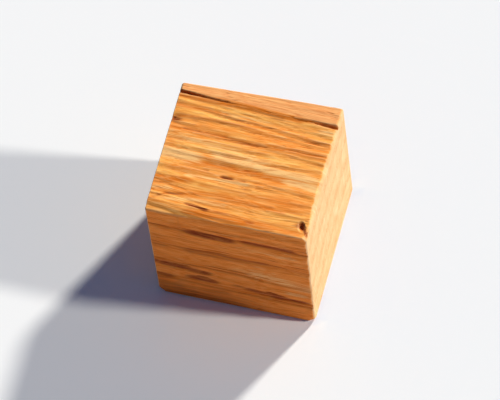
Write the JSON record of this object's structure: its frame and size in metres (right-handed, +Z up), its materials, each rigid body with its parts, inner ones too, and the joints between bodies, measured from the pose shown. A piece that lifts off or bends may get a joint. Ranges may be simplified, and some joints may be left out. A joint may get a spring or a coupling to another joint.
{
  "type": "wooden cube",
  "caption": "Small rough-sawn cube of ring-porous oak with torn long grain, a split strip along one edge, smooth end grain and a flat base to rest on.",
  "frame": {"origin": "centre of the bounding box on the flat base", "axes": "+X along the grain, out of the smooth right end; +Y to the back, where the unbroken strip runs; +Z up, out of the torn top"},
  "size_m": [0.0208, 0.02, 0.0196],
  "materials": {
    "oak": "rough sawn, untreated"
  },
  "bodies": {
    "root": {"oak_block": "oak"}
  },
  "joints": []
}
